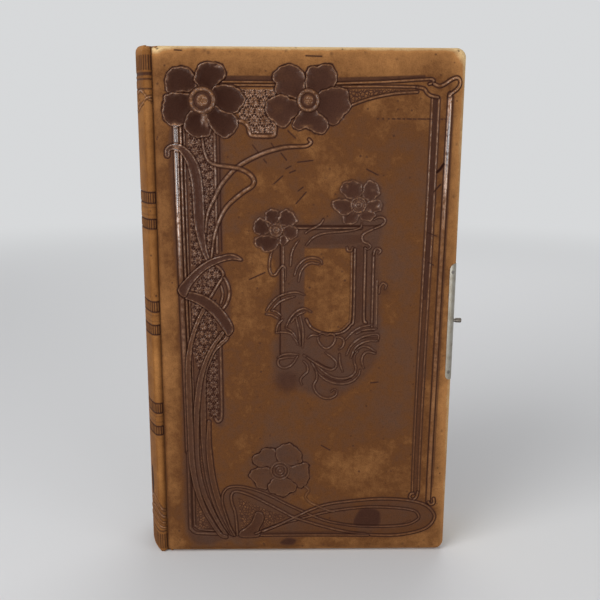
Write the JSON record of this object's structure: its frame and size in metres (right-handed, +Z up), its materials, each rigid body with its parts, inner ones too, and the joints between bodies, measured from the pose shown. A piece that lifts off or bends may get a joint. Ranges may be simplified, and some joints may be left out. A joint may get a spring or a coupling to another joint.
{
  "type": "photograph album",
  "caption": "Padded leather photograph album with a rounded spine, tooled front cover, window leaves on linen guards and a nickel fore-edge clasp.",
  "frame": {"origin": "under the middle of the album's box, on the surface that its tail edge stands on", "axes": "+Z up from tail to head, -Y out of the front cover, +X from the spine to the fore-edge"},
  "size_m": [0.1758, 0.0526, 0.28],
  "materials": {
    "tooled_leather": "satin, worn",
    "cover_leather": "satin, worn",
    "pasteboard": "matt",
    "wadding": "matt",
    "endpaper": "matt",
    "leaf_card": "matt",
    "mat_card": "matt, gilt edges",
    "linen": "matt",
    "nickel": "nickel plated, worn satin",
    "steel_pin": "dark, worn"
  },
  "bodies": {
    "spine": {"spine_leather": "cover_leather", "spine_liner": "pasteboard", "spine_cloth": "linen", "guard_stubs": "leaf_card", "front_joint_leather": "cover_leather", "back_joint_leather": "cover_leather"},
    "front_cover": {"front_board": "pasteboard", "front_wadding": "wadding", "front_leather": "tooled_leather", "front_pastedown": "endpaper", "front_clasp_plate": "nickel", "front_clasp_pins": "steel_pin", "clasp_stud": "nickel"},
    "back_cover": {"back_board": "pasteboard", "back_wadding": "wadding", "back_leather": "cover_leather", "back_pastedown": "endpaper", "back_clasp_plate": "nickel", "back_clasp_pins": "steel_pin", "clasp_hinge_pin": "steel_pin"},
    "hasp": {"clasp_hasp": "nickel"},
    "leaf_01": {"leaf_01_core": "leaf_card", "leaf_01_mats": "mat_card", "leaf_01_guard": "linen"},
    "leaf_02": {"leaf_02_core": "leaf_card", "leaf_02_mats": "mat_card", "leaf_02_guard": "linen"},
    "leaf_03": {"leaf_03_core": "leaf_card", "leaf_03_mats": "mat_card", "leaf_03_guard": "linen"},
    "leaf_04": {"leaf_04_core": "leaf_card", "leaf_04_mats": "mat_card", "leaf_04_guard": "linen"},
    "leaf_05": {"leaf_05_core": "leaf_card", "leaf_05_mats": "mat_card", "leaf_05_guard": "linen"},
    "leaf_06": {"leaf_06_core": "leaf_card", "leaf_06_mats": "mat_card", "leaf_06_guard": "linen"},
    "leaf_07": {"leaf_07_core": "leaf_card", "leaf_07_mats": "mat_card", "leaf_07_guard": "linen"},
    "leaf_08": {"leaf_08_core": "leaf_card", "leaf_08_mats": "mat_card", "leaf_08_guard": "linen"},
    "leaf_09": {"leaf_09_core": "leaf_card", "leaf_09_mats": "mat_card", "leaf_09_guard": "linen"},
    "leaf_10": {"leaf_10_core": "leaf_card", "leaf_10_mats": "mat_card", "leaf_10_guard": "linen"}
  },
  "joints": [
    {"name": "front_cover_hinge", "type": "hinge", "parent": "spine", "child": "front_cover", "pos_m": [-0.0789, -0.025, 0.14], "axis": [0, 0, -1], "range_deg": [0, 180]},
    {"name": "back_cover_hinge", "type": "hinge", "parent": "spine", "child": "back_cover", "pos_m": [-0.0789, 0.0228, 0.14], "axis": [0, 0, 1], "range_deg": [0, 180]},
    {"name": "clasp_hasp_hinge", "type": "hinge", "parent": "back_cover", "child": "hasp", "pos_m": [0.0841, 0.0249, 0.1365], "axis": [0, 0, -1], "range_deg": [0, 270]},
    {"name": "leaf_01_hinge", "type": "hinge", "parent": "spine", "child": "leaf_01", "pos_m": [-0.0764, -0.01595, 0.14], "axis": [0, 0, -1], "range_deg": [0, 88]},
    {"name": "leaf_02_hinge", "type": "hinge", "parent": "spine", "child": "leaf_02", "pos_m": [-0.0764, -0.01265, 0.14], "axis": [0, 0, -1], "range_deg": [0, 70]},
    {"name": "leaf_03_hinge", "type": "hinge", "parent": "spine", "child": "leaf_03", "pos_m": [-0.0764, -0.00935, 0.14], "axis": [0, 0, -1], "range_deg": [0, 52]},
    {"name": "leaf_04_hinge", "type": "hinge", "parent": "spine", "child": "leaf_04", "pos_m": [-0.0764, -0.00605, 0.14], "axis": [0, 0, -1], "range_deg": [0, 34]},
    {"name": "leaf_05_hinge", "type": "hinge", "parent": "spine", "child": "leaf_05", "pos_m": [-0.0764, -0.00275, 0.14], "axis": [0, 0, -1], "range_deg": [0, 16]},
    {"name": "leaf_06_hinge", "type": "hinge", "parent": "spine", "child": "leaf_06", "pos_m": [-0.0764, 0.00055, 0.14], "axis": [0, 0, 1], "range_deg": [0, 16]},
    {"name": "leaf_07_hinge", "type": "hinge", "parent": "spine", "child": "leaf_07", "pos_m": [-0.0764, 0.00385, 0.14], "axis": [0, 0, 1], "range_deg": [0, 34]},
    {"name": "leaf_08_hinge", "type": "hinge", "parent": "spine", "child": "leaf_08", "pos_m": [-0.0764, 0.00715, 0.14], "axis": [0, 0, 1], "range_deg": [0, 52]},
    {"name": "leaf_09_hinge", "type": "hinge", "parent": "spine", "child": "leaf_09", "pos_m": [-0.0764, 0.01045, 0.14], "axis": [0, 0, 1], "range_deg": [0, 70]},
    {"name": "leaf_10_hinge", "type": "hinge", "parent": "spine", "child": "leaf_10", "pos_m": [-0.0764, 0.01375, 0.14], "axis": [0, 0, 1], "range_deg": [0, 88]}
  ],
  "couplings": [
    {"joint": "leaf_01_hinge", "follows": "front_cover_hinge", "ratio": 0.4888},
    {"joint": "leaf_02_hinge", "follows": "front_cover_hinge", "ratio": 0.3888},
    {"joint": "leaf_03_hinge", "follows": "front_cover_hinge", "ratio": 0.2888},
    {"joint": "leaf_04_hinge", "follows": "front_cover_hinge", "ratio": 0.1888},
    {"joint": "leaf_05_hinge", "follows": "front_cover_hinge", "ratio": 0.0888},
    {"joint": "leaf_06_hinge", "follows": "back_cover_hinge", "ratio": 0.0888},
    {"joint": "leaf_07_hinge", "follows": "back_cover_hinge", "ratio": 0.1888},
    {"joint": "leaf_08_hinge", "follows": "back_cover_hinge", "ratio": 0.2888},
    {"joint": "leaf_09_hinge", "follows": "back_cover_hinge", "ratio": 0.3888},
    {"joint": "leaf_10_hinge", "follows": "back_cover_hinge", "ratio": 0.4888}
  ]
}
